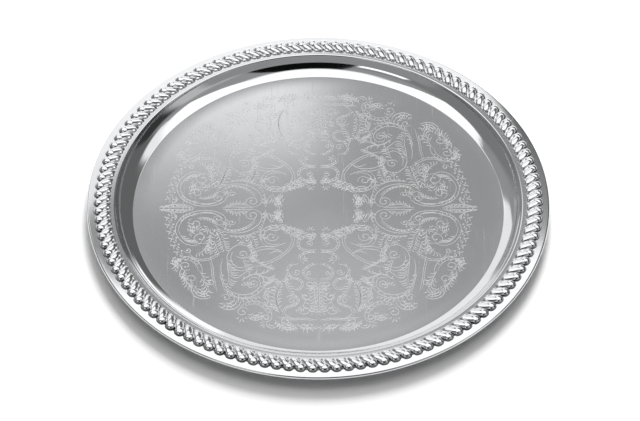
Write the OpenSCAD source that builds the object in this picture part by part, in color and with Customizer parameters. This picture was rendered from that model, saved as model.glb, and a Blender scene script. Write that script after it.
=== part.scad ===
// Round metal tray with a rope border, used as an offering plate.
// The sheet is pressed to a shallow dish, the border strip is soldered on its flange,
// and the edge of the flange is curled under round a wire.
// The tray rests on z = 0 and its axis is Z.

/* [Tray] */
// Diameter over the curled edge
tray_d = 305; // [300:1:312]
// Diameter of the flat floor, measured at the crease
floor_d = 245.6; // [240:0.2:248]
// Thickness of the sheet
sheet_t = 0.6; // [0.5:0.1:0.8]

/* [Side] */
// Slope of the cove round the floor, in degrees
cove_slope = 24; // [18:1:30]
// Length of the cove, measured up the sheet
cove_len = 4; // [3:0.5:5]
// Radius of the hollow curve of the wall above the cove
wall_r = 14; // [12:0.5:15]
// Slope at the top of the wall, in degrees
wall_slope = 68; // [55:1:72]
// Radius of the crease round the floor
crease_r = 1.5; // [1:0.1:2]
// Radius of the shoulder between the wall and the flange
shoulder_r = 1; // [0.8:0.1:1.5]
// How far the flange falls towards the edge, in degrees
flange_fall = 1.2; // [0:0.1:3]

/* [Border] */
// Number of lobes in the border
lobes = 120; // [96:4:128]
// Diameter at the inner ends of the lobes
border_in_d = 273.8; // [271.4:0.2:275]
// Diameter at the outer ends of the lobes
border_out_d = 296.4; // [290:0.2:297]
// Height of a lobe above the flange
lobe_h = 2.8; // [2:0.1:3.5]
// How far a lobe leans, from its inner end to its outer end, in lobe widths
lobe_lean = 0.8; // [0.4:0.1:1.2]
// Thickness of the strip in the valleys between lobes
valley_t = 0.5; // [0.3:0.1:0.8]

/* [Edge] */
// Diameter of the wire in the curled edge
wire_d = 1.4; // [1:0.1:2]
// How far the edge curls round the wire, in degrees
curl = 285; // [200:5:300]

/* [Hidden] */

// Play between the wire and the curl, and the film of solder under the border
wire_play = 0.03;
solder_t = 0.05;

// Columns across one lobe, and the places of the rows along it
lobe_cols = 5;
lobe_rows = [0, 0.07, 0.22, 0.45, 0.7, 0.9, 1];

// A lobe's inner end is this part of its full width and height, and it is full width from widest_at
nose_w = 0.7;
nose_h = 0.8;
widest_at = 0.6;
end_power = 3;

// Steps round the tray and round the wire, and degrees in one step of a bend
turn_steps = 180;
wire_steps = 32;
bend_step = 8;
curl_r = wire_d / 2 + wire_play + sheet_t / 2;
curl_start_r = tray_d / 2 - sheet_t / 2 - curl_r * (1 - sin(flange_fall));

// The sheet is described as a strip that is bent as it runs outwards. Each bend is its length
// along the middle of the sheet and the angle that it turns through, upwards positive.
function arc_len(r, turn) = PI * r * abs(turn) / 180;
function bend(r, turn) = [arc_len(r, turn), turn];

// The distance from the start of a bend to a place on it where it has turned by a
function chord(len, turn, a) = 2 * len / turn * 180 / PI * sin(a / 2);
function steps(turn) = max(1, ceil(abs(turn) / bend_step));

function walk(at, len, turn, i, n) =
    let (a = turn * i / n, d = turn == 0 ? len * i / n : chord(len, turn, a))
    [at[0] + d * cos(at[2] + a / 2), at[1] + d * sin(at[2] + a / 2), at[2] + a];

// Every point of the strip as [radius, height, heading]
function strip(at, bends, k = 0) =
    k == len(bends) ? [at] :
    let (len = bends[k][0], turn = bends[k][1], n = steps(turn))
    concat(
        [for (i = [0 : n - 1]) walk(at, len, turn, i, n)],
        strip(walk(at, len, turn, n, n), bends, k + 1)
    );

dish = strip([0, sheet_t / 2, 0], [
    [floor_d / 2 - crease_r * tan(cove_slope / 2), 0],
    bend(crease_r, cove_slope),
    [cove_len, 0],
    bend(wall_r, wall_slope - cove_slope),
    bend(shoulder_r, -wall_slope - flange_fall)
]);
shoulder = dish[len(dish) - 1];
flange_len = (curl_start_r - shoulder[0]) / cos(flange_fall);
flange = strip(shoulder, [[flange_len, 0], bend(curl_r, -curl)]);
sheet = concat([for (i = [0 : len(dish) - 2]) dish[i]], flange);

function face(q, side) = [
    max(0, q[0] - side * sheet_t / 2 * sin(q[2])),
    q[1] + side * sheet_t / 2 * cos(q[2])
];

// Height of the flange's upper face at a radius, and the middle of the wire
function flange_z(r) = face(shoulder, 1)[1] - (r - face(shoulder, 1)[0]) * tan(flange_fall);
wire_r = tray_d / 2 - sheet_t / 2 - curl_r;
wire_z = walk(shoulder, flange_len, 0, 1, 1)[1] - curl_r * cos(flange_fall);

// Shape of one lobe: s runs from its inner end to its outer end, u across it from -0.5 to 0.5
function lobe_w(s) = nose_w + (1 - nose_w) * sin(90 * min(1, s / widest_at));
function ends(s) = sqrt(1 - pow(abs(2 * s - 1), end_power));
function crown(s) = (lobe_h - valley_t) * (nose_h + (1 - nose_h) * s) * ends(s);
function across(u, w) = sqrt(max(0, 1 - pow(2 * u / w, 2)));
function lobe_z(s, u) = s == 0 || s == 1 ? 0 : valley_t + crown(s) * across(u, lobe_w(s));

module pan() {
    upper = [for (q = sheet) face(q, 1)];
    lower = [for (i = [len(sheet) - 1 : -1 : 0]) face(sheet[i], -1)];
    color("gainsboro")
        rotate_extrude($fn = turn_steps)
            polygon(concat(upper, lower));
}

module gadroon_border() {
    cols = lobes * lobe_cols;
    rows = len(lobe_rows);
    r_in = border_in_d / 2;
    r_out = border_out_d / 2;
    points = [
        for (s = lobe_rows, i = [0 : cols - 1])
            let (
                r = r_in + (r_out - r_in) * s,
                a = 360 * (i / lobe_cols + lobe_lean * (s - 0.5)) / lobes,
                u = (i % lobe_cols) / lobe_cols - 0.5
            )
            [r * cos(a), r * sin(a), flange_z(r) + solder_t + lobe_z(s, u)]
    ];
    // The last row joins back to the first, which closes the underside of the strip
    faces = [
        for (j = [0 : rows - 1], i = [0 : cols - 1])
            let (j2 = (j + 1) % rows, i2 = (i + 1) % cols)
            [j * cols + i, j * cols + i2, j2 * cols + i2, j2 * cols + i]
    ];
    color("silver")
        polyhedron(points = points, faces = faces, convexity = 6);
}

module rim_wire() {
    color("dimgray")
        rotate_extrude($fn = turn_steps)
            translate([wire_r, wire_z])
                circle(d = wire_d, $fn = wire_steps);
}

pan();
gadroon_border();
rim_wire();
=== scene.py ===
import math

import bpy
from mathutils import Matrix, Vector


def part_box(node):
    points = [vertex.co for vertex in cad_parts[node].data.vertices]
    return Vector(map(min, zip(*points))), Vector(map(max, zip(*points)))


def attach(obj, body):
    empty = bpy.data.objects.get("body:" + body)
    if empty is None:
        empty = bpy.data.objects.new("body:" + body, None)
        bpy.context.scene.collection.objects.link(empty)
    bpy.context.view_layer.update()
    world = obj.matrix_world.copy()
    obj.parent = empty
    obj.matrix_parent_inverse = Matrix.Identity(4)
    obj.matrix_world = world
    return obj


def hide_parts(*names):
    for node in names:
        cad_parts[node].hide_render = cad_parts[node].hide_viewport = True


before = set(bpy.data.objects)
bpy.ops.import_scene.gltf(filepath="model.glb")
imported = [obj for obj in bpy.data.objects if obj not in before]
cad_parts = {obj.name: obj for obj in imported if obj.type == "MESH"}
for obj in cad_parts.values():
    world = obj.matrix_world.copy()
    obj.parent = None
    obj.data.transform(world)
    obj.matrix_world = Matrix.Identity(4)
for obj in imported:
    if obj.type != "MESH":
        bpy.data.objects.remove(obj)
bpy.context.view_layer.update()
scene = bpy.context.scene
mm = 0.001

# The pan is one pressed sheet, described as a strip that bends as it runs outwards
pan = {
    "diameter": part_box("pan")[1].x * 2,
    "floorDiameter": 245.6 * mm,
    "sheet": 0.6 * mm,
    "coveSlope": 24,
    "coveLength": 4 * mm,
    "wallRadius": 14 * mm,
    "wallSlope": 68,
    "creaseRadius": 1.5 * mm,
    "shoulderRadius": 1 * mm,
    "flangeFall": 1.2,
    "wireDiameter": 1.4 * mm,
    "wirePlay": 0.03 * mm,
    "curl": 285,
    "segments": 480,
    "floorRings": 12,
    "degreesPerStep": 4,
    "curlDegreesPerStep": 12,
}


def walkStrip(start, bends, degreesPerStep):
    # start is (radius, height, heading), each bend (length, turn); headings are in degrees
    path = [start]
    r, z, heading = start
    for length, turn in bends:
        steps = max(1, math.ceil(abs(turn) / degreesPerStep))
        for i in range(1, steps + 1):
            a = math.radians(turn * i / steps)
            if turn:
                chord = 2 * length / math.radians(turn) * math.sin(a / 2)
            else:
                chord = length * i / steps
            along = math.radians(heading) + a / 2
            outwards, upwards = chord * math.cos(along), chord * math.sin(along)
            path.append((r + outwards, z + upwards, heading + math.degrees(a)))
        r, z, heading = path[-1]
    return path


def panStrip(s):
    def bend(radius, turn):
        return (math.radians(abs(turn)) * radius, turn)

    curlRadius = s["wireDiameter"] / 2 + s["wirePlay"] + s["sheet"] / 2
    fall = math.radians(s["flangeFall"])
    flangeEnd = s["diameter"] / 2 - s["sheet"] / 2 - curlRadius * (1 - math.sin(fall))
    floorEnd = s["floorDiameter"] / 2 - s["creaseRadius"] * math.tan(math.radians(s["coveSlope"] / 2))
    dish = walkStrip((floorEnd, s["sheet"] / 2, 0), [
        bend(s["creaseRadius"], s["coveSlope"]),
        (s["coveLength"], 0),
        bend(s["wallRadius"], s["wallSlope"] - s["coveSlope"]),
        bend(s["shoulderRadius"], -s["wallSlope"] - s["flangeFall"]),
    ], s["degreesPerStep"])
    shoulder = dish[-1]
    flange = walkStrip(shoulder, [
        ((flangeEnd - shoulder[0]) / math.cos(fall), 0),
        bend(curlRadius, -s["curl"]),
    ], s["curlDegreesPerStep"])
    return dish + flange[1:], shoulder


sheetStrip, shoulder = panStrip(pan)
flangeTop = shoulder[1] + pan["sheet"] / 2
flangeSlope = math.tan(math.radians(pan["flangeFall"]))


def flangeHeight(r):
    return flangeTop - (r - shoulder[0]) * flangeSlope


def sheetFace(strip, side, thickness):
    # the upper face for side 1, the lower face for side -1
    off = side * thickness / 2
    rows = []
    for r, z, heading in strip:
        a = math.radians(heading)
        rows.append((r - off * math.sin(a), z + off * math.cos(a)))
    return rows


def makeObject(name, verts, faces, materials, body="root"):
    mesh = bpy.data.meshes.new(name)
    mesh.from_pydata(verts, [], faces)
    mesh.update()
    mesh.shade_smooth()
    obj = bpy.data.objects.new(name, mesh)
    scene.collection.objects.link(obj)
    for m in materials:
        mesh.materials.append(m)
    if body:
        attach(obj, body)
    return obj


def revolve(outline, segments):
    # outline is a closed loop of (radius, height); a point on the axis becomes one vertex
    verts, faces, rings = [], [], []
    for r, z in outline:
        if r < 1e-9:
            rings.append([len(verts)] * segments)
            verts.append((0, 0, z))
        else:
            rings.append(list(range(len(verts), len(verts) + segments)))
            for k in range(segments):
                a = 2 * math.pi * k / segments
                verts.append((r * math.cos(a), r * math.sin(a), z))
    for ring, nextRing in zip(rings, rings[1:] + rings[:1]):
        if ring[0] == ring[1] and nextRing[0] == nextRing[1]:
            continue
        for k in range(segments):
            k2 = (k + 1) % segments
            face = [ring[k], ring[k2], nextRing[k2], nextRing[k]]
            faces.append([v for i, v in enumerate(face) if v not in face[:i]])
    return verts, faces


def makePan(s, strip, materials):
    upper = sheetFace(strip, 1, s["sheet"])
    lower = sheetFace(strip, -1, s["sheet"])
    floorRings = [upper[0][0] * k / s["floorRings"] for k in range(s["floorRings"])]
    outline = [(r, s["sheet"]) for r in floorRings] + upper + lower[::-1] + [(0, 0)]
    verts, faces = revolve(outline[::-1], s["segments"])
    obj = makeObject("pan_shell", verts, faces, materials)
    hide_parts("pan")
    print("pan:", len(verts), "points")


def smooth(points, step):
    # a curve through all the points, cut into even steps; extra numbers on a point are carried along
    size = range(len(points[0]))
    first = [2 * points[0][i] - points[1][i] for i in size]
    last = [2 * points[-1][i] - points[-2][i] for i in size]
    guides = [first, *points, last]
    curve = [tuple(points[0])]
    for a, b, c, d in zip(guides, guides[1:], guides[2:], guides[3:]):
        n = max(2, math.ceil(math.dist(b[:2], c[:2]) / step))
        for k in range(1, n + 1):
            t = k / n
            curve.append(tuple(
                0.5 * (2 * b[i] + (c[i] - a[i]) * t + (2 * a[i] - 5 * b[i] + 4 * c[i] - d[i]) * t ** 2
                       + (3 * b[i] - a[i] - 3 * c[i] + d[i]) * t ** 3) for i in size))
    return curve


def headings(curve):
    angles = []
    for k in range(len(curve)):
        a, b = curve[max(0, k - 1)], curve[min(len(curve) - 1, k + 1)]
        angles.append(math.atan2(b[1] - a[1], b[0] - a[0]))
    return angles


# The rope border repeats one unit: a round ball at the outer end, a thick leaning strand that runs into it,
# a thin strand beside that, and a small nub at the inner end. Places are (outwards, round the rim) in
# millimetres, counted from a circle just inside the lobes.
border = {
    "units": 120,
    "innerRadius": 136.9,
    "sink": 0.12,
    # (outwards, round, half length, half width, height)
    "ball": (7.75, 0.2, 3.5, 3.5, 2.66),
    "nub": (1.9, -2.4, 1.9, 2, 1.3),
    "domeSides": 20,
    "domeRings": 7,
    "squareness": 2.35,  # 2 is an oval, more is boxier
    "back": 0.82,  # 1 is a half round strand, less is flatter
    "band": (1.9, 9.4, 0.36),  # (inner, outer, height) of the strip that the lobes stand on
    "bandStepsPerUnit": 3,
    # (outwards, round, half width, height) along each strand
    "thick": [(0.2, -6.3, 0.7, 0.6), (1.4, -5.5, 1.9, 1.75), (3.4, -3.9, 2.6, 2.4), (5.7, -2.1, 2.7, 2.6),
              (7.6, -0.7, 2.2, 2.4), (9, 0.3, 1, 1.3)],
    "thin": [(1.2, -1.7, 0.5, 0.7), (2.8, -0.5, 1, 1.4), (4.6, 0.8, 1.05, 1.6), (6.4, 2.1, 0.9, 1.5),
             (7.8, 3.2, 0.5, 0.9)],
    "step": 0.75,
    "strandSides": 10,
    "sharpFrom": 65,  # keeps the flat undersides from bending the shading of the sides
}


def bulge(value, power):
    return math.copysign(abs(value) ** power, value)


def domeShape(s, outwards, around, lengthwise, sideways, height):
    # half an egg with full shoulders: rings of (outwards, around, height)
    power = 2 / s["squareness"]
    rows = []
    for j in range(s["domeRings"]):
        lift = math.sin(math.pi / 2 * j / s["domeRings"])
        spread = math.cos(math.pi / 2 * j / s["domeRings"])
        row = []
        for k in range(s["domeSides"]):
            a = 2 * math.pi * k / s["domeSides"]
            x, y = bulge(math.cos(a), power), bulge(math.sin(a), power)
            row.append((outwards + lengthwise * spread * x, around + sideways * spread * y, height * lift))
        rows.append(row)
    rows.append([(outwards, around, height)])
    return rows


def strandShape(s, guides):
    # a strand with a round back: sections of (outwards, around, height)
    path = smooth(guides, s["step"])
    sections = []
    for (x, y, half, height), a in zip(path, headings(path)):
        row = []
        for k in range(s["strandSides"] + 1):
            t = math.pi * k / s["strandSides"]
            off = -half * bulge(math.cos(t), s["back"])
            lift = height * bulge(math.sin(t), s["back"])
            row.append((x - off * math.sin(a), y + off * math.cos(a), lift))
        sections.append(row)
    return sections


def makeBorder(s, materials):
    verts, faces = [], []

    def addPoints(row, turn):
        start = len(verts)
        for outwards, around, height in row:
            r = math.hypot(s["innerRadius"] + outwards, around)
            a = turn + math.atan2(around, s["innerRadius"] + outwards)
            z = flangeHeight(r * mm) + (height - s["sink"]) * mm
            verts.append((r * math.cos(a) * mm, r * math.sin(a) * mm, z))
        return start

    def addShape(rows, turn, closed):
        starts = [addPoints(row, turn) for row in rows]
        for start, nextStart, row, nextRow in zip(starts, starts[1:], rows, rows[1:]):
            n = len(row)
            for k in range(n if closed else n - 1):
                k2 = (k + 1) % n
                if len(nextRow) == 1:
                    faces.append([start + k, start + k2, nextStart])
                else:
                    faces.append([start + k, start + k2, nextStart + k2, nextStart + k])
            if not closed:
                faces.append([start + n - 1, start, nextStart, nextStart + n - 1])
        faces.append([starts[0] + k for k in range(len(rows[0]) - 1, -1, -1)])
        if not closed:
            faces.append([starts[-1] + k for k in range(len(rows[-1]))])

    inner, outer, height = s["band"]
    ring = [(outer, 0, 0), (outer, 0, height), (inner, 0, height), (inner, 0, 0)]
    turns = s["units"] * s["bandStepsPerUnit"]
    for i in range(turns):
        addPoints(ring, 2 * math.pi * i / turns)
    for i in range(turns):
        here, ahead = 4 * i, 4 * ((i + 1) % turns)
        for k in range(4):
            k2 = (k + 1) % 4
            faces.append([here + k, ahead + k, ahead + k2, here + k2])

    domes = [domeShape(s, *s[name]) for name in ("ball", "nub")]
    strands = [strandShape(s, s[name]) for name in ("thick", "thin")]
    for i in range(s["units"]):
        turn = 2 * math.pi * (i + 0.5) / s["units"]
        for rows in domes:
            addShape(rows, turn, True)
        for rows in strands:
            addShape(rows, turn, False)
    obj = makeObject("rope_border", verts, faces, materials)
    obj.data.set_sharp_from_angle(angle=math.radians(s["sharpFrom"]))
    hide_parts("gadroon_border")
    print("border:", len(verts), "points")


# One quarter of the arabesque, in millimetres from the middle: x along the long leaf, y across it.
# Angles are in degrees, and every quarter is a mirror image of the ones beside it.
engraving = {
    "step": 0.7,
    "line": 0.66,  # width of the long lines
    "feather": 0.85,  # width of the short ones
    "sink": 0.005,
    "relief": 0.016,
    "dotSides": 8,
    # thin is how wide a line starts and ends, fullest the place along it where it is widest
    "scroll": {"thin": 0.5, "innerThin": 0.4, "innerWidth": 0.8, "innerTrim": 12,
               "bead": 0.62, "firstBead": 0.12, "beadSpan": 0.6},
    "curl": {"thin": 0.5, "fullest": 0.7, "fineness": 0.6, "shrink": 0.75, "dot": 0.8},
    "comma": {"thin": 0.25, "fullest": 0.65, "cuts": 5},
    "fan": {"shorter": 0.45},
    "shell": {"thin": 0.3},
    "spray": {"thin": 0.3, "fullest": 0.3, "off": 0.7, "bow": 0.22, "firstSize": 0.15, "sizeSpan": 0.75},
    # (points of the outer line, gap to the inner line or 0, beads between them)
    "scrolls": [
        # the great ring beside the long leaf
        ([(75, 25), (77.5, 31), (82.5, 33), (89, 30), (93.5, 22), (93.5, 15), (89.5, 7.5), (80, 2.5),
          (69, 2.6), (62, 7), (61.5, 12), (65, 15), (69, 13.5)], 2.2, 0),
        ([(78, 3.8), (74, 3.6), (70, 4.2), (66.5, 6)], 0, 5),
        # the lyre scroll between the ring and the middle
        ([(68, 15.5), (62.5, 20.5), (54, 22), (46, 20), (39.5, 14.5), (37.3, 8), (39, 3.2), (43.5, 0.9)],
          0, 0),
        ([(64, 16), (58, 19.2), (51, 18.5), (45, 14.5), (41.5, 9.5)], 1.2, 7),
        ([(63.5, 0.8), (56, 1.2), (50, 0.9), (43.5, 0.9)], 0, 0),
        # the ring nearest the middle
        ([(17.5, 28.5), (19, 22.5), (24, 18.3), (29.5, 17.6), (34.5, 20.5), (36, 25.5), (33.5, 30.5),
          (28.5, 32.3), (25.5, 31)], 2.3, 7),
        ([(42, 36), (36, 33.8), (28, 33.6), (21, 30.5)], 0, 0),
        ([(43, 40), (37, 36.6), (29, 36), (23.5, 38)], 0, 0),
        ([(32, 40), (27, 37.8), (22, 40)], 0, 0),
        # the hook above the ring
        ([(44.5, 52.5), (50, 55), (56.5, 52), (59.5, 45.5), (58, 37.5), (52.5, 32.5), (46, 34),
          (43.4, 39), (46, 43.5), (50.5, 43.5)], 0, 0),
        ([(46, 50.5), (51, 52.3), (55.5, 49), (57, 44), (56, 38.5)], 0, 0),
        # arch over the great ring
        ([(84.5, 37.5), (82.5, 42.5), (77.5, 44.8), (71, 43.8), (63.5, 38.5)], 1.5, 0),
        # the beaded scrolls along the edge
        ([(90.5, 42.5), (84.5, 42.8), (79, 46.3), (75.8, 52), (75.5, 58)], 2.6, 5),
        ([(61, 67.5), (56, 73), (49, 75.5), (42, 73.5), (37.5, 67.5), (39, 61.5), (43.5, 61), (45.5, 65)],
          2.6, 7),
        ([(50.5, 86.5), (46, 82), (39.5, 81), (34, 84.5), (30, 91), (30.5, 96.5), (34.5, 98.5),
          (37, 95.5)], 2.4, 7),
        # stems on both sides of the open field
        ([(70.5, 42.5), (68.5, 52), (67.5, 61), (65.5, 72.5)], 1.2, 0),
        ([(62.5, 44.5), (63.3, 52), (62.3, 60), (61, 66.5)], 0, 0),
        ([(20, 18), (15.8, 25), (17, 34), (23, 42), (32, 48.5), (41, 51.5)], 1.6, 0),
        ([(26, 94.5), (18, 95.5), (9, 95.2), (1.2, 97)], 1.3, 0),
        ([(1.2, 49), (6, 51.5), (9, 56), (6.5, 61), (1.2, 62)], 1.3, 3),
        ([(1.2, 25.4), (6, 25.2), (11.5, 28), (12.2, 33), (9, 36.5), (1.2, 36.8)], 1.6, 7),
        ([(1.2, 39), (7, 39.5), (11.8, 43), (11, 47)], 1.4, 3),
        # S scrolls on both sides of the long axis
        ([(13, 49), (17.5, 50.5), (19.5, 55), (17, 60), (12, 62), (9.5, 66.5), (12, 71), (16, 70.5),
          (16.8, 67)], 1.3, 5),
        ([(21, 78), (17, 75.5), (13, 77.5), (12.5, 82), (16, 85), (20.5, 87), (21.5, 91.5), (18.5, 94)],
          1.3, 5),
        # the oval round the empty middle
        ([(1.2, 23.2), (6.5, 23.4), (10, 25.6)], 0, 3),
        ([(10.5, 22.6), (15, 21.6), (18.2, 23.8)], 0, 3),
        ([(18.5, 19), (21.5, 15.2), (25.5, 14.6)], 0, 3),
        ([(23.6, 11.5), (25.8, 7.5), (29, 7.4)], 0, 3),
    ],
    # (x, y, radius, first angle, turn)
    "curls": [
        (30.5, 25.2, 4.4, 200, -420), (43.7, 6, 4.8, -90, 500), (66.2, 9.4, 3.4, 60, -420),
        (77.2, 26.2, 5.6, 150, -440), (49.5, 40.5, 4, 20, 440), (67, 22.5, 3, 200, 400),
        (86.3, 50.5, 4.4, 130, -420), (82, 62, 4.4, 100, -400), (59.5, 78, 3.2, -20, -380),
        (48.6, 90.2, 4.2, 210, 400), (33.6, 95.2, 3.4, 30, -360), (20.5, 98, 4.4, 200, 400),
        (8.5, 88.5, 4.4, -40, 400), (6, 67, 3.6, 60, 400), (8.3, 77, 3.8, 250, -400),
        (42, 65.8, 3.2, 90, 400), (81, 13.5, 5, 300, 420), (73, 35.3, 2.8, 0, 380),
        (85.2, 37.2, 2.6, 0, 380), (6, 31, 2.6, 90, 400), (57, 12.5, 2.6, 200, -380),
        (70, 64.5, 3, 40, 380), (4.6, 26.4, 2.4, 40, 380), (12.6, 24.6, 2.4, 20, 380),
        (20.3, 20.4, 2.4, -20, 400), (24.8, 11, 2.2, -40, 400), (26, 4.6, 2.2, -60, 400),
        (14.2, 56, 3, 0, 400), (16.5, 80.6, 3, 180, 400), (29.5, 71, 3.2, 90, -400),
        (31, 84, 3, 200, 400), (6.4, 56.6, 2.2, 0, 380),
    ],
    # nested arcs: (x, y, radius, heading, spread, arcs)
    "shells": [
        (57.5, 80.5, 7.6, 110, 150, 3), (74, 71, 8, 60, 130, 4), (90, 47, 5, 10, 140, 2),
        (85, 57, 5, 20, 150, 2), (19, 99, 6, 70, 150, 3), (40, 91.5, 5.5, 100, 150, 3),
        (29, 13.5, 6.2, 90, 130, 3), (8, 99, 5, 90, 140, 2), (86.5, 18, 5, 200, 140, 2),
        (29.5, 100, 3.6, 60, 150, 2), (1.5, 84, 6, 60, 110, 3), (2, 20.5, 4, 60, 80, 2),
    ],
    # (x, y, heading, spread, strokes, from, to, bow)
    "fans": [
        (33, 1.5, 75, 70, 5, 2.5, 9.5, 0.15), (23.5, 3, 50, 100, 5, 2, 9, 0.2),
        (39.5, 24, 150, 80, 5, 2, 7.5, 0.3), (57.3, 12.8, 20, 130, 5, 2, 6.5, 0.3),
        (80.5, 21.5, 250, 170, 6, 2, 7, 0.25), (86.5, 22, 200, 130, 5, 2, 6.5, 0.3),
        (71, 16.5, 60, 150, 6, 2, 7, 0.3), (50, 26.5, 90, 120, 5, 2, 6, 0.3),
        (72, 69.5, 70, 130, 6, 2.5, 9, 0.35), (59, 80.5, 105, 160, 6, 2.2, 8, 0.35),
        (40.5, 90, 100, 150, 6, 2, 7.5, 0.35), (15, 98.5, 70, 140, 6, 2, 7, 0.3),
        (7, 98, 90, 110, 5, 2, 7.5, 0.3), (25, 97.5, 100, 120, 5, 2, 6, 0.3),
        (88.5, 48.5, 20, 150, 6, 2, 6.5, 0.35), (84, 59, 20, 150, 6, 2, 6.5, 0.35),
        (79, 66, 30, 130, 5, 2, 6.5, 0.35), (12, 46, 200, 140, 5, 2, 6, 0.3),
        (5, 21, 270, 100, 4, 1.5, 5, 0.2), (49, 93, 90, 110, 4, 2.5, 6, 0.3),
        (33.5, 98.5, 60, 110, 4, 2, 5.5, 0.3), (47, 70, 250, 130, 6, 2, 6.5, 0.3),
        (91, 43.5, 60, 120, 5, 2, 6, 0.35), (4.5, 23.4, 80, 110, 5, 1.4, 5, 0.3),
        (13, 21.5, 60, 110, 5, 1.4, 5, 0.3), (20.5, 16.8, 40, 110, 5, 1.4, 5, 0.3),
        (24.4, 8.2, 20, 110, 5, 1.4, 4.6, 0.3), (17.5, 64.5, 330, 120, 5, 2, 6, 0.3),
        (7.5, 70.5, 200, 120, 5, 2, 5.5, 0.3), (24.5, 61, 70, 120, 6, 2, 6.5, 0.3),
        (29.5, 90, 260, 120, 6, 2, 6.5, 0.3), (34.5, 62, 120, 120, 5, 2, 5.5, 0.3),
    ],
    # (points of the stem, strokes, length, slant to the stem, side)
    "sprays": [
        ([(105.5, 1), (98, 3), (90, 3.6), (82, 0.8)], 8, 3.6, 50, 1),
        ([(105.5, 1), (95, 1), (84, 0.6)], 9, 2.4, 50, -1),
        ([(98, 3.4), (94, 6), (93, 9)], 4, 3.5, 50, -1),
        ([(62, 1), (54, 3.5), (47.5, 2)], 8, 3.6, 50, -1),
        ([(32, 13.5), (29, 7.5), (25, 1.5)], 7, 4, 40, 1),
        ([(32, 13.5), (29, 7.5), (25, 1.5)], 7, 3.4, 40, -1),
        ([(36.2, 14), (34.8, 8), (34.2, 2)], 5, 2.6, 40, 1),
        ([(38, 26), (37.8, 20), (36.2, 15)], 5, 2.8, 45, 1),
        ([(68.5, 17), (64.5, 24), (62.5, 31), (61, 37)], 9, 6, 45, 1),
        ([(68.5, 17), (64.5, 24), (62.5, 31), (61, 37)], 9, 6, 45, -1),
        ([(71, 20), (71.5, 29), (75, 37), (80, 41)], 10, 5, 50, 1),
        ([(71, 23), (70, 32), (69, 40)], 8, 4.6, 50, -1),
        ([(59, 24), (52, 24.8), (46, 23.6), (41, 20.5)], 8, 3.6, 40, -1),
        ([(47, 23), (43.5, 28), (42, 34)], 7, 5.4, 55, -1),
        ([(47, 23), (43.5, 28), (42, 34)], 6, 4, 55, 1),
        ([(43, 34), (40.5, 40), (41, 47)], 7, 5.5, 60, -1),
        ([(45.5, 35), (43, 41), (43.5, 47)], 5, 3.4, 60, 1),
        ([(59.5, 44), (59, 52), (58, 60), (59, 69)], 11, 7, 60, 1),
        ([(49, 45), (47.5, 50.5), (46.5, 56)], 5, 5.4, 60, 1),
        ([(52, 61), (46, 55), (41, 50)], 0, 0, 0, 1),
        ([(50, 63.5), (43, 58.5), (35, 57), (30, 53)], 6, 4, 40, 1),
        ([(43, 45), (37, 49.5), (30.5, 54)], 6, 5.6, 40, 1),
        ([(40, 57), (35, 60), (29, 61)], 5, 5, 40, -1),
        ([(36, 66), (34, 72), (36, 78)], 6, 3.4, 50, 1),
        ([(60, 71), (50, 78.5), (38, 77)], 9, 3.4, 50, -1),
        ([(20, 56), (21.5, 63), (20, 70), (17, 76)], 7, 4.4, 55, 1),
        ([(11, 74), (8.5, 80), (10.5, 86), (15, 89)], 6, 3.6, 50, 1),
        ([(23.5, 92), (26.5, 84), (27, 75), (24.5, 66)], 10, 5.4, 45, 1),
        ([(23.5, 92), (26.5, 84), (27, 75), (24.5, 66)], 9, 4.8, 45, -1),
        ([(34, 86), (32, 79), (32.5, 72)], 5, 4.4, 45, 1),
        ([(28, 58), (29.5, 64), (34, 68)], 5, 4, 50, -1),
        ([(1.2, 63), (2.5, 72), (2, 82), (3, 92)], 11, 4, 50, -1),
        ([(0.5, 64), (0.6, 78), (0.5, 93)], 12, 2, 40, -1),
        ([(20.5, 16.5), (14, 20.5), (7, 24)], 7, 3.2, 60, 1),
        ([(20.5, 16.5), (15, 18.4), (9, 20.8)], 6, 2.4, 60, -1),
        ([(64, 56), (62.5, 64), (60.5, 72)], 5, 4, 45, 1),
        ([(76, 61), (73, 66), (70, 72)], 5, 4.6, 50, -1),
        ([(77, 55), (74, 62), (73, 68)], 5, 4.6, 50, 1),
        ([(89, 44.5), (93, 49), (91, 55)], 6, 3.6, 50, -1),
        ([(88, 58), (84.5, 66), (78, 73)], 8, 4, 50, -1),
        ([(80, 9), (75, 8.4), (70, 9.6), (66, 13)], 8, 4, 50, -1),
        ([(90, 24), (86, 29), (80, 31)], 7, 4, 50, 1),
        ([(91, 12), (86.5, 7.5), (80, 5.6)], 6, 3, 50, 1),
        ([(68, 29), (66.5, 35), (64.5, 40)], 5, 4, 50, -1),
        ([(28, 97), (22, 103), (14, 104)], 8, 3.6, 50, -1),
        ([(12, 101), (7, 104.5), (1.2, 102)], 6, 3.4, 50, -1),
    ],
    # small drops and leaves along the rim of the pattern; the leaf is a fan and the drop a dot
    "garland": {"radius": 99.3, "from": 4.5, "to": 25.5, "count": 7,
                "leaf": (150, 4, 1.6, 5.6, 0.4), "leafIn": 2.4, "leafTurn": 15, "drop": (-2.8, 0.4, 0.9)},
}


def taper(curve, wide, thin, fullest=0.5):
    # widths swell from a thin start to the fullest place and fall off again
    n = len(curve) - 1
    stroke = []
    for k, (x, y) in enumerate(curve):
        t = k / n
        swell = math.sin(math.pi / 2 * (t / fullest if t < fullest else (1 - t) / (1 - fullest)))
        stroke.append((x, y, wide * (thin + (1 - thin) * swell)))
    return stroke


def beside(curve, gap):
    return [(p[0] - gap * math.sin(a), p[1] + gap * math.cos(a)) for p, a in zip(curve, headings(curve))]


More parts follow.
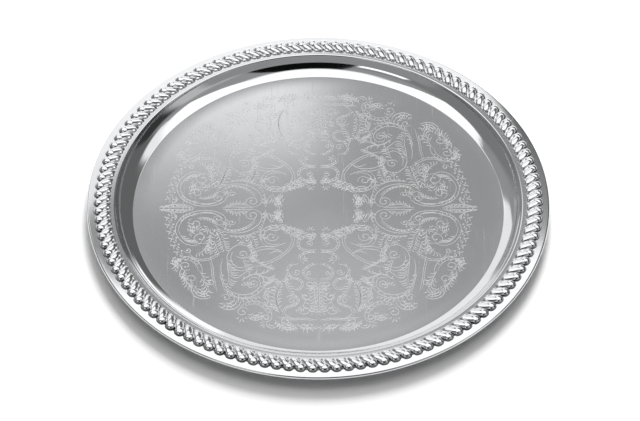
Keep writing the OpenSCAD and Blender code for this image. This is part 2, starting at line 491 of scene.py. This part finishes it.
def comma(s, x, y, heading, length, bow):
    # a short cut that bends to one side and is fattest near its tip
    own = s["comma"]
    c, d = math.cos(heading), math.sin(heading)
    tip = (x + length * c, y + length * d)
    middle = ((x + tip[0]) / 2 - bow * length * d, (y + tip[1]) / 2 + bow * length * c)
    curve = smooth([(x, y), middle, tip], max(s["step"], length / own["cuts"]))
    return taper(curve, s["feather"], own["thin"], own["fullest"])


def drawScroll(s, points, gap, beads):
    own = s["scroll"]
    curve = smooth(points, s["step"])
    strokes = [taper(curve, s["line"], own["thin"])]
    dots = []
    if gap:
        trim = len(curve) // own["innerTrim"]
        inner = curve[trim:-trim]
        strokes.append(taper(beside(inner, -gap), s["line"] * own["innerWidth"], own["innerThin"]))
    if beads:
        rail = beside(curve, -gap / 2)
        for k in range(beads):
            place = own["firstBead"] + own["beadSpan"] * k / beads
            dots.append((*rail[int(len(rail) * place)], own["bead"]))
    return strokes, dots


def drawCurl(s, x, y, radius, start, turn):
    own = s["curl"]
    n = max(8, math.ceil(math.radians(abs(turn)) * radius * own["fineness"] / s["step"]))
    curve = []
    for k in range(n + 1):
        t = k / n
        r = radius * (1 - own["shrink"] * t)
        a = math.radians(start + turn * t)
        curve.append((x + r * math.cos(a), y + r * math.sin(a)))
    return [taper(curve, s["line"], own["thin"], own["fullest"])], [(*curve[-1], own["dot"])]


def drawFan(s, x, y, heading, spread, count, near, far, bow):
    strokes = []
    for k in range(count):
        t = k / (count - 1) * 2 - 1
        a = math.radians(heading + spread / 2 * t)
        length = (far - near) * (1 - s["fan"]["shorter"] * t * t)
        side = bow * (-1 if t > 0 else 1) * min(1, abs(t) * 2)
        strokes.append(comma(s, x + near * math.cos(a), y + near * math.sin(a), a, length, side))
    return strokes, []


def drawShell(s, x, y, radius, heading, spread, arcs):
    strokes = []
    for k in range(arcs):
        r = radius * (k + 1) / arcs
        n = max(6, math.ceil(math.radians(spread) * r / s["step"]))
        curve = []
        for i in range(n + 1):
            a = math.radians(heading + spread * (i / n - 0.5))
            curve.append((x + r * math.cos(a), y + r * math.sin(a)))
        strokes.append(taper(curve, s["feather"], s["shell"]["thin"]))
    return strokes, []


def drawSpray(s, points, count, length, slant, side):
    own = s["spray"]
    curve = smooth(points, s["step"])
    angles = headings(curve)
    strokes = [taper(curve, s["line"], own["thin"], own["fullest"])]
    for k in range(count):
        t = (k + 0.5) / count
        i = int(t * (len(curve) - 1))
        a = angles[i] + side * math.radians(slant)
        grow = math.sin(math.pi * (own["firstSize"] + own["sizeSpan"] * t))
        start = (curve[i][0] + own["off"] * math.cos(a), curve[i][1] + own["off"] * math.sin(a))
        strokes.append(comma(s, *start, a, length * grow, -own["bow"] * side))
    return strokes, []


def drawGarland(s):
    own = s["garland"]
    strokes, dots = [], []
    for k in range(own["count"]):
        a = math.radians(own["from"] + (own["to"] - own["from"]) * k / (own["count"] - 1))
        x, y = own["radius"] * math.cos(a), own["radius"] * math.sin(a)
        strokes += drawFan(s, x - own["leafIn"], y, math.degrees(a) + own["leafTurn"], *own["leaf"])[0]
        dropX, dropY, dropSize = own["drop"]
        dots.append((x + dropX, y + dropY, dropSize))
    return strokes, dots


def drawEngraving(s):
    jobs = [("scrolls", drawScroll), ("curls", drawCurl), ("fans", drawFan)]
    jobs += [("sprays", drawSpray), ("shells", drawShell)]
    drawn = [draw(s, *values) for name, draw in jobs for values in s[name]]
    drawn.append(drawGarland(s))
    strokes = [stroke for newStrokes, newDots in drawn for stroke in newStrokes]
    dots = [dot for newStrokes, newDots in drawn for dot in newDots]
    return strokes, dots


def makeEngraving(s, floorHeight, materials):
    strokes, dots = drawEngraving(s)
    verts, faces = [], []
    base, ridge = floorHeight - s["sink"] * mm, floorHeight + s["relief"] * mm
    dotTop = ridge + s["relief"] * mm / 2
    n = s["dotSides"]
    for mirrorX, mirrorY in ((1, 1), (-1, 1), (-1, -1), (1, -1)):
        turned = mirrorX * mirrorY < 0
        for stroke in strokes:
            first = len(verts)
            for (x, y, wide), a in zip(stroke, headings(stroke)):
                for side, z in ((0.5, base), (0, ridge), (-0.5, base)):
                    px = mirrorX * (x - side * wide * math.sin(a))
                    py = mirrorY * (y + side * wide * math.cos(a))
                    verts.append((px * mm, py * mm, z))
            for k in range(len(stroke) - 1):
                at = first + 3 * k
                for i, j in ((0, 1), (1, 2), (2, 0)):
                    face = [at + i, at + j, at + 3 + j, at + 3 + i]
                    faces.append(face[::-1] if turned else face)
            last = len(verts)
            caps = [first, first + 2, first + 1], [last - 3, last - 2, last - 1]
            faces += [cap[::-1] if turned else cap for cap in caps]
        for x, y, radius in dots:
            first = len(verts)
            for k in range(n):
                a = 2 * math.pi / n * k
                px = mirrorX * (x + radius * math.cos(a))
                py = mirrorY * (y + radius * math.sin(a))
                verts.append((px * mm, py * mm, base))
            verts.append((mirrorX * x * mm, mirrorY * y * mm, dotTop))
            ring = [first + k for k in range(n)]
            flat = ring if turned else ring[::-1]
            faces.append(flat)
            for a, b in zip(flat, flat[1:] + flat[:1]):
                faces.append([b, a, first + n])
    obj = makeObject("floor_engraving", verts, faces, materials)
    obj.data.shade_flat()
    print("engraving:", len(strokes), "strokes a quarter,", len(verts), "points")


# Surface effects that the finishes share, each built once as a node group
def newGroup(name, inputs, outputs):
    # inputs maps each socket to its first value, or to None for a vector
    g = bpy.data.node_groups.new(name, "ShaderNodeTree")
    for socket, value in inputs.items():
        kind = "NodeSocketVector" if value is None else "NodeSocketFloat"
        made = g.interface.new_socket(socket, in_out="INPUT", socket_type=kind)
        if value is not None:
            made.default_value = value
    for socket in outputs:
        g.interface.new_socket(socket, in_out="OUTPUT", socket_type="NodeSocketFloat")
    return g, g.nodes.new("NodeGroupInput"), g.nodes.new("NodeGroupOutput")


def setSocket(tree, socket, value):
    # value is a number or another socket
    if isinstance(value, (int, float)):
        socket.default_value = value
    else:
        tree.links.new(value, socket)


def mathNode(tree, operation, *values):
    n = tree.nodes.new("ShaderNodeMath")
    n.operation = operation
    for socket, value in zip(n.inputs, values):
        setSocket(tree, socket, value)
    return n.outputs[0]


def rangeNode(tree, value, low, high, start=0, end=1):
    n = tree.nodes.new("ShaderNodeMapRange")
    n.interpolation_type = "SMOOTHSTEP"
    names = ("Value", "From Min", "From Max", "To Min", "To Max")
    for socket, number in zip(names, (value, low, high, start, end)):
        setSocket(tree, n.inputs[socket], number)
    return n.outputs["Result"]


def noiseNode(tree, vector, scale, detail=2, roughness=0.5):
    n = tree.nodes.new("ShaderNodeTexNoise")
    setSocket(tree, n.inputs["Vector"], vector)
    setSocket(tree, n.inputs["Scale"], scale)
    setSocket(tree, n.inputs["Detail"], detail)
    setSocket(tree, n.inputs["Roughness"], roughness)
    return n.outputs["Fac"]


def splitNode(tree, vector):
    n = tree.nodes.new("ShaderNodeSeparateXYZ")
    tree.links.new(vector, n.inputs[0])
    return n.outputs


def flatNode(tree, vector):
    # the point brought down to the level of the table, so that only its place round the axis is left
    n = tree.nodes.new("ShaderNodeVectorMath")
    n.operation = "MULTIPLY"
    n.inputs[1].default_value = (1, 1, 0)
    tree.links.new(vector, n.inputs[0])
    return n.outputs[0]


hairlineLook = {
    "directions": ((20, 34), (75, 26), (140, 40)),  # (angle, fineness)
    "slimness": 30,
    "detail": 3,
    "roughness": 0.6,
    "linesFrom": 0.66,
    "linesTo": 0.74,
}


def makeHairlines(s):
    # hairline scratches from stacking and wiping, in three directions
    g, inp, out = newGroup("hairlines", {"Vector": None, "Scale": 1, "Amount": 0.5}, ["Lines", "Height"])
    total = None
    for turn, fineness in s["directions"]:
        rotate = g.nodes.new("ShaderNodeMapping")
        rotate.inputs["Rotation"].default_value = (0, 0, math.radians(turn))
        rotate.inputs["Scale"].default_value = (fineness, fineness / s["slimness"], fineness)
        g.links.new(inp.outputs["Vector"], rotate.inputs["Vector"])
        field = noiseNode(g, rotate.outputs[0], inp.outputs["Scale"], s["detail"], s["roughness"])
        lines = rangeNode(g, field, s["linesFrom"], s["linesTo"])
        total = lines if total is None else mathNode(g, "MAXIMUM", total, lines)
    strength = mathNode(g, "MULTIPLY", total, inp.outputs["Amount"])
    g.links.new(strength, out.inputs["Lines"])
    g.links.new(mathNode(g, "MULTIPLY", strength, -1), out.inputs["Height"])
    return g


handlingLook = {
    "broadDetail": 5,
    "broadRoughness": 0.6,
    "broadRange": (0.42, 0.72),
    "fineScale": 9,  # how much finer the second pattern is
    "fineDetail": 3,
    "fineRange": (0.2, 0.7, 0.5, 1),
    "dustScale": 420,
    "dustRange": (0.09, 0.05),
}


def makeHandling(s):
    # faint smears left by hands and cloths, with a little dust
    inputs = {"Vector": None, "Smear Scale": 14, "Amount": 0.5}
    g, inp, out = newGroup("handling", inputs, ["Haze", "Dust"])
    vector, scale = inp.outputs["Vector"], inp.outputs["Smear Scale"]
    broad = noiseNode(g, vector, scale, s["broadDetail"], s["broadRoughness"])
    fine = noiseNode(g, vector, mathNode(g, "MULTIPLY", scale, s["fineScale"]), s["fineDetail"])
    broad = rangeNode(g, broad, *s["broadRange"])
    fine = rangeNode(g, fine, *s["fineRange"])
    haze = mathNode(g, "MULTIPLY", broad, fine)
    g.links.new(mathNode(g, "MULTIPLY", haze, inp.outputs["Amount"]), out.inputs["Haze"])
    specks = g.nodes.new("ShaderNodeTexVoronoi")
    specks.inputs["Scale"].default_value = s["dustScale"]
    g.links.new(vector, specks.inputs["Vector"])
    g.links.new(rangeNode(g, specks.outputs["Distance"], *s["dustRange"]), out.inputs["Dust"])
    return g


def makePolishLines():
    # lines that the polishing mop leaves, running outwards from the middle of the tray
    g, inp, out = newGroup("polishLines", {"Vector": None, "Scale": 60}, ["Lines"])
    unit = g.nodes.new("ShaderNodeVectorMath")
    unit.operation = "NORMALIZE"
    g.links.new(flatNode(g, inp.outputs["Vector"]), unit.inputs[0])
    g.links.new(noiseNode(g, unit.outputs[0], inp.outputs["Scale"], 4, 0.7), out.inputs["Lines"])
    return g


hairlines = makeHairlines(hairlineLook)
handling = makeHandling(handlingLook)
polishLines = makePolishLines()


class Finish:
    # a metal finish with its shader and object coordinates
    def __init__(self, name):
        self.material = bpy.data.materials.new(name)
        self.material.use_nodes = True
        self.tree = self.material.node_tree
        self.shader = self.tree.nodes["Principled BSDF"]
        self.shader.inputs["Metallic"].default_value = 1
        self.place = self.tree.nodes.new("ShaderNodeTexCoord").outputs["Object"]

    def effect(self, group, settings):
        n = self.tree.nodes.new("ShaderNodeGroup")
        n.node_tree = group
        self.tree.links.new(self.place, n.inputs["Vector"])
        for socket, number in settings.items():
            n.inputs[socket].default_value = number
        return n.outputs

    def radius(self):
        # how far a point lies from the axis of the tray
        n = self.tree.nodes.new("ShaderNodeVectorMath")
        n.operation = "LENGTH"
        self.tree.links.new(flatNode(self.tree, self.place), n.inputs[0])
        return n.outputs["Value"]

    # mixes the clean colour with a second colour by the mask: smears and wear on the pan and engraving,
    # painted shade in the valleys of the border
    def color(self, mask, clean, wornAndShade):
        n = self.tree.nodes.new("ShaderNodeMix")
        n.data_type = "RGBA"
        self.tree.links.new(mask, n.inputs["Factor"])
        n.inputs["A"].default_value = (*clean, 1)
        n.inputs["B"].default_value = (*wornAndShade, 1)
        self.tree.links.new(n.outputs["Result"], self.shader.inputs["Base Color"])

    def bump(self, height, distance):
        n = self.tree.nodes.new("ShaderNodeBump")
        n.inputs["Strength"].default_value = 1
        n.inputs["Distance"].default_value = distance
        self.tree.links.new(height, n.inputs["Height"])
        self.tree.links.new(n.outputs["Normal"], self.shader.inputs["Normal"])

    def roughness(self, value):
        self.tree.links.new(value, self.shader.inputs["Roughness"])


floorEdge = pan["floorDiameter"] / 2
panFinish = {
    "clean": (0.8, 0.81, 0.82),
    "wornAndShade": (0.73, 0.74, 0.755),
    "floorRoughness": 0.08,
    "wallRoughness": 0.045,
    "satinEdge": (floorEdge - 1.3 * mm, floorEdge + 0.7 * mm),  # where the floor gives way to the wall
    "handling": {"Smear Scale": 11, "Amount": 0.7},
    "hairlines": {"Scale": 16, "Amount": 0.6},
    "polishLines": {"Scale": 90},
    "hazeRoughness": 0.05,
    "scratchRoughness": 0.08,
    "dustRoughness": 0.15,
    "mopRoughness": 0.04,
    "mopDepth": 0.8,  # as a part of the depth of a scratch
    "scratchDepth": 0.004 * mm,
}


def makePanFinish(s):
    f = Finish("panChrome")
    t = f.tree
    haze = f.effect(handling, s["handling"])
    lines = f.effect(hairlines, s["hairlines"])
    mop = f.effect(polishLines, s["polishLines"])
    radius = f.radius()
    satin = rangeNode(t, radius, *s["satinEdge"], s["floorRoughness"], s["wallRoughness"])
    rough = mathNode(t, "MULTIPLY_ADD", haze["Haze"], s["hazeRoughness"], satin)
    rough = mathNode(t, "MULTIPLY_ADD", lines["Lines"], s["scratchRoughness"], rough)
    rough = mathNode(t, "MULTIPLY_ADD", haze["Dust"], s["dustRoughness"], rough)
    mopped = mathNode(t, "MULTIPLY", mop["Lines"], rangeNode(t, radius, *s["satinEdge"]))
    f.roughness(mathNode(t, "MULTIPLY_ADD", mopped, s["mopRoughness"], rough))
    f.color(haze["Haze"], s["clean"], s["wornAndShade"])
    f.bump(mathNode(t, "MULTIPLY_ADD", mopped, s["mopDepth"], lines["Height"]), s["scratchDepth"])
    return f.material


borderInside = border["innerRadius"] * mm
borderFinish = {
    "clean": (0.82, 0.83, 0.84),
    # painted shade: the nearly black colour put in the valleys between the lobes and strands
    "paintedShade": (0.015, 0.015, 0.015),
    "valleyFrom": 0.4 * mm,  # heights over the flange, where the painted shade is full and where it ends
    "valleyTo": 1.3 * mm,
    "innerEdge": (borderInside + 1.3 * mm, borderInside + 2.9 * mm),  # the innermost ends get no painted shade
    "handling": {"Smear Scale": 60, "Amount": 0.6},
    "hairlines": {"Scale": 40, "Amount": 0.5},
    "patchiness": 0.5,
    "leastPaintedShade": 0.75,
    "roughness": 0.02,
    "valleyRoughness": 0.08,
    "hazeRoughness": 0.05,
    "scratchDepth": 0.003 * mm,
}


def makeBorderFinish(s):
    f = Finish("borderChrome")
    t = f.tree
    haze = f.effect(handling, s["handling"])
    lines = f.effect(hairlines, s["hairlines"])
    height = splitNode(t, f.place)["Z"]
    # painted shade: low places between the lobes and strands get a nearly black colour and a little more
    # roughness, patchy with the smears; the innermost ends are left out
    valley = rangeNode(t, height, flangeTop + s["valleyTo"], flangeTop + s["valleyFrom"])
    inside = rangeNode(t, f.radius(), *s["innerEdge"])
    patches = mathNode(t, "MULTIPLY_ADD", haze["Haze"], s["patchiness"], s["leastPaintedShade"])
    paintedShadeMask = mathNode(t, "MULTIPLY", mathNode(t, "MULTIPLY", valley, patches), inside)
    f.color(paintedShadeMask, s["clean"], s["paintedShade"])
    rough = mathNode(t, "MULTIPLY_ADD", paintedShadeMask, s["valleyRoughness"], s["roughness"])
    f.roughness(mathNode(t, "MULTIPLY_ADD", haze["Haze"], s["hazeRoughness"], rough))
    f.bump(lines["Height"], s["scratchDepth"])
    return f.material


engravingFinish = {
    "clean": (0.67, 0.675, 0.68),
    "wornAndShade": (0.61, 0.62, 0.63),
    "handling": {"Smear Scale": 16, "Amount": 1},
    "grain": 2600,
    "grainRange": (0.3, 0.7),
    "roughness": (0.24, 0.34),
    "grainDepth": 0.004 * mm,
}


def makeEngravingFinish(s):
    f = Finish("frostedCut")
    t = f.tree
    grain = noiseNode(t, f.place, s["grain"])
    haze = f.effect(handling, s["handling"])
    f.roughness(rangeNode(t, grain, *s["grainRange"], *s["roughness"]))
    f.color(haze["Haze"], s["clean"], s["wornAndShade"])
    f.bump(grain, s["grainDepth"])
    return f.material


wireFinish = {
    "dark": (0.5, 0.51, 0.52),
    "light": (0.6, 0.61, 0.62),
    "polishLines": {"Scale": 300},
    "lineRange": (0.3, 0.7),
    "roughness": (0.24, 0.38),
    "lineDepth": 0.004 * mm,
}


def makeWireFinish(s):
    f = Finish("wireSteel")
    lines = f.effect(polishLines, s["polishLines"])["Lines"]
    f.roughness(rangeNode(f.tree, lines, *s["lineRange"], *s["roughness"]))
    f.color(lines, s["dark"], s["light"])
    f.bump(lines, s["lineDepth"])
    return f.material


panChrome = makePanFinish(panFinish)
borderChrome = makeBorderFinish(borderFinish)
frostedCut = makeEngravingFinish(engravingFinish)
wireSteel = makeWireFinish(wireFinish)
print("finishes: pan, border, engraving and wire")

makePan(pan, sheetStrip, [panChrome])
makeBorder(border, [borderChrome])
makeEngraving(engraving, pan["sheet"], [frostedCut])
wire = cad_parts["rim_wire"]
wire.data.materials.clear()
wire.data.materials.append(wireSteel)
print("wire: dressed")

camera = {
    "elevation": 47.577,
    "distance": 6.5 * pan["diameter"],
    "lens": 168.52725,
    "sensor": 36,
    "shiftX": 0.0026,
    "shiftY": -0.0035,
    "clip": (0.01, 100),
}


def makeCamera(s):
    data = bpy.data.cameras.new("camera")
    obj = bpy.data.objects.new("camera", data)
    scene.collection.objects.link(obj)
    e = math.radians(s["elevation"])
    target = Vector((0, 0, pan["sheet"]))
    back = Vector((0, -math.cos(e), math.sin(e)))
    obj.location = target + back * s["distance"]
    obj.rotation_euler = (-back).to_track_quat("-Z", "Y").to_euler()
    data.sensor_width = s["sensor"]
    data.lens = s["lens"]
    data.shift_x = s["shiftX"]
    data.shift_y = s["shiftY"]
    data.clip_start, data.clip_end = s["clip"]
    scene.camera = obj


makeCamera(camera)

table = {
    "halfWidth": 8,
    "drop": 0.05 * mm,  # just under the tray, so the two faces don't share a plane
    "color": (0.9, 0.9, 0.9, 1),
    "roughness": 0.9,
}


def makeTable(s):
    m = bpy.data.materials.new("tablePaper")
    m.use_nodes = True
    shader = m.node_tree.nodes["Principled BSDF"]
    shader.inputs["Base Color"].default_value = s["color"]
    shader.inputs["Roughness"].default_value = s["roughness"]
    w = s["halfWidth"]
    corners = [(x, y, -s["drop"]) for x, y in ((-w, -w), (w, -w), (w, w), (-w, w))]
    obj = makeObject("table", corners, [(0, 1, 2, 3)], [m], None)


makeTable(table)
scene.view_settings.view_transform = "Standard"

# Studio light as the metal sees it. Angles are in degrees; azimuth 0 is the far side, plus is to the right.
# Later cards lie over earlier ones; each is (azimuth, half width, lowest, highest, softness, brightness).
studio = {
    "room": 0.33,
    "cards": {
        "leftWall": (-105, 50, -10, 52, 8, 0.22),
        "rightWall": (135, 38, -10, 52, 9, 0.33),
        "rightDark": (86, 17, -10, 34, 6, 0.04),
        "rightCard": (117, 18, -10, 38, 6, 0.55),
        "darkFlag": (40, 34, -10, 44, 4, 0.14),
        "frontWall": (180, 60, -10, 32, 5, 0.3),
        "ceiling": (0, 95, 51.4, 95, 2, 1.3),
        "ceilingRight": (51, 44, 48.6, 95, 0.8, 1.3),
        "ceilingLeft": (-51, 44, 49.8, 95, 0.8, 1.3),
        "ceilingTop": (0, 181, 74, 95, 4, 1.3),
        "farSheet": (-10, 37, -10, 13, 3, 1.35),
        "rightSheet": (62, 14, 44, 52, 2, 1),
        "haze": (-4, 12, 46.6, 51.2, 1.2, 0.33),
        "glow": (0.2, 2.6, 48.6, 49.7, 1.2, 0.75),
        "softbox": (-19, 19.2, -10, 46.5, 0.7, 1),
        "softboxFoot": (-36, 12, -10, 15, 2, 0.4),
        "softboxSide": (4, 5.5, -10, 43.2, 1.2, 0.95),
        "farGlow": (-14, 24, 33, 43.2, 1.2, 1.12),
        "cameraSide": (171, 30, 36, 71, 1.5, 0.004),
        "backLamp": (-143, 14, 36, 45.5, 1.5, 1.5),
    },
}
cardSockets = ("Azimuth", "Half Width", "Lowest", "Highest", "Softness", "Brightness")


def makeCardGroup():
    inputs = {"Base": 0, **{name: 0 for name in cardSockets}, "Direction": None}
    g, inp, out = newGroup("lightCard", inputs, ["Result"])
    wanted = inp.outputs

    def maths(operation, *values):
        return mathNode(g, operation, *values)

    turn = g.nodes.new("ShaderNodeVectorRotate")
    turn.rotation_type = "Z_AXIS"
    g.links.new(wanted["Direction"], turn.inputs["Vector"])
    g.links.new(maths("RADIANS", wanted["Azimuth"]), turn.inputs["Angle"])
    seen = splitNode(g, turn.outputs[0])
    off = maths("ABSOLUTE", maths("DEGREES", maths("ARCTAN2", seen["X"], seen["Y"])))
    height = maths("DEGREES", maths("ARCSINE", seen["Z"]))

    def inside(distance):
        # 1 well inside the edge, 0 outside it
        return rangeNode(g, distance, maths("MULTIPLY", wanted["Softness"], -1), wanted["Softness"])

    mask = inside(maths("SUBTRACT", wanted["Half Width"], off))
    mask = maths("MULTIPLY", mask, inside(maths("SUBTRACT", height, wanted["Lowest"])))
    mask = maths("MULTIPLY", mask, inside(maths("SUBTRACT", wanted["Highest"], height)))
    change = maths("MULTIPLY", mask, maths("SUBTRACT", wanted["Brightness"], wanted["Base"]))
    g.links.new(maths("ADD", wanted["Base"], change), out.inputs["Result"])
    return g


def makeWorld(s):
    world = bpy.data.worlds.new("studio")
    scene.world = world
    world.use_nodes = True
    nodes, links = world.node_tree.nodes, world.node_tree.links
    coords = nodes.new("ShaderNodeTexCoord")
    group = makeCardGroup()
    last = None
    for name, values in s["cards"].items():
        card = nodes.new("ShaderNodeGroup")
        card.node_tree = group
        card.label = name
        card.inputs["Base"].default_value = s["room"]
        for socket, value in zip(cardSockets, values):
            card.inputs[socket].default_value = value
        links.new(coords.outputs["Generated"], card.inputs["Direction"])
        if last:
            links.new(last.outputs["Result"], card.inputs["Base"])
        last = card
    links.new(last.outputs["Result"], nodes["Background"].inputs["Color"])


makeWorld(studio)

keyLight = {
    "size": 0.9,
    "power": 36,
    "azimuth": 8,
    "elevation": 42,
    "distance": 1.6,
}


def makeKey(s):
    light = bpy.data.lights.new("key", "AREA")
    light.shape = "DISK"
    light.size = s["size"]
    light.energy = s["power"]
    obj = bpy.data.objects.new("key", light)
    a, e = math.radians(s["azimuth"]), math.radians(s["elevation"])
    direction = Vector((math.sin(a) * math.cos(e), math.cos(a) * math.cos(e), math.sin(e)))
    obj.location = direction * s["distance"]
    obj.rotation_euler = direction.to_track_quat("Z", "Y").to_euler()
    obj.visible_glossy = False
    scene.collection.objects.link(obj)


makeKey(keyLight)
print("studio:", len(studio["cards"]), "light cards, a key light, a table and a camera")
